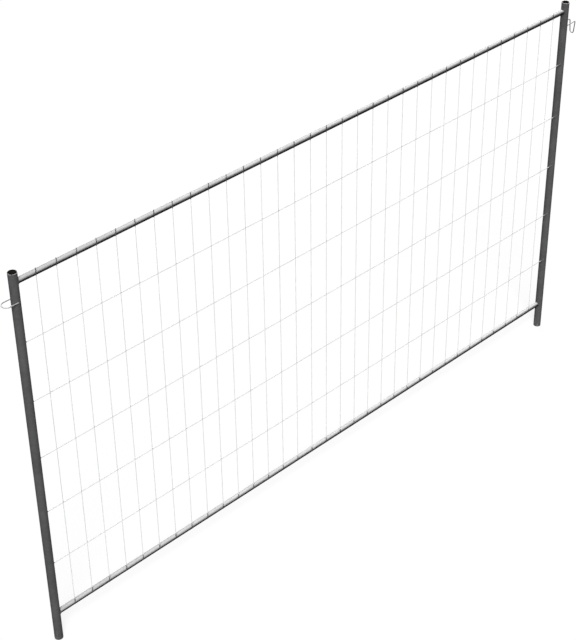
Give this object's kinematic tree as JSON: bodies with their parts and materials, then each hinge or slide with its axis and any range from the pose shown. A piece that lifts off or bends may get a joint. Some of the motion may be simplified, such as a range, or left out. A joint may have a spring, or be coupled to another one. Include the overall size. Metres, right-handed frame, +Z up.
{
  "type": "temporary fence panel",
  "caption": "Welded steel site fence panel: open tube posts and tube rails with a wire mesh on the front, a rod eye on one post and a drop-in rod hook on the other to couple panels.",
  "frame": {"origin": "on the ground under the panel, midway between the axes of the two posts", "axes": "+X along the panel from the eye to the hook, -Y towards the face that carries the mesh, +Z up"},
  "size_m": [3.5504, 0.0494, 1.995],
  "materials": {
    "post_steel": "matte",
    "rail_steel": "matte",
    "mesh_wire": "satin",
    "coupling_rod": "satin",
    "weld_metal": "matte"
  },
  "bodies": {
    "root": {"left_post": "post_steel", "right_post": "post_steel", "top_rail": "rail_steel", "bottom_rail": "rail_steel", "vertical_wire_01": "mesh_wire", "vertical_wire_02": "mesh_wire", "vertical_wire_03": "mesh_wire", "vertical_wire_04": "mesh_wire", "vertical_wire_05": "mesh_wire", "vertical_wire_06": "mesh_wire", "vertical_wire_07": "mesh_wire", "vertical_wire_08": "mesh_wire", "vertical_wire_09": "mesh_wire", "vertical_wire_10": "mesh_wire", "vertical_wire_11": "mesh_wire", "vertical_wire_12": "mesh_wire", "vertical_wire_13": "mesh_wire", "vertical_wire_14": "mesh_wire", "vertical_wire_15": "mesh_wire", "vertical_wire_16": "mesh_wire", "vertical_wire_17": "mesh_wire", "vertical_wire_18": "mesh_wire", "vertical_wire_19": "mesh_wire", "vertical_wire_20": "mesh_wire", "vertical_wire_21": "mesh_wire", "vertical_wire_22": "mesh_wire", "vertical_wire_23": "mesh_wire", "vertical_wire_24": "mesh_wire", "vertical_wire_25": "mesh_wire", "vertical_wire_26": "mesh_wire", "vertical_wire_27": "mesh_wire", "vertical_wire_28": "mesh_wire", "vertical_wire_29": "mesh_wire", "vertical_wire_30": "mesh_wire", "vertical_wire_31": "mesh_wire", "vertical_wire_32": "mesh_wire", "vertical_wire_33": "mesh_wire", "horizontal_wire_1": "mesh_wire", "horizontal_wire_2": "mesh_wire", "horizontal_wire_3": "mesh_wire", "horizontal_wire_4": "mesh_wire", "horizontal_wire_5": "mesh_wire", "coupling_eye": "coupling_rod", "coupling_hook": "coupling_rod", "top_left_rail_weld": "weld_metal", "top_right_rail_weld": "weld_metal", "bottom_left_rail_weld": "weld_metal", "bottom_right_rail_weld": "weld_metal", "left_post_wire_welds": "weld_metal", "right_post_wire_welds": "weld_metal", "eye_welds": "weld_metal", "hook_welds": "weld_metal"}
  },
  "joints": []
}
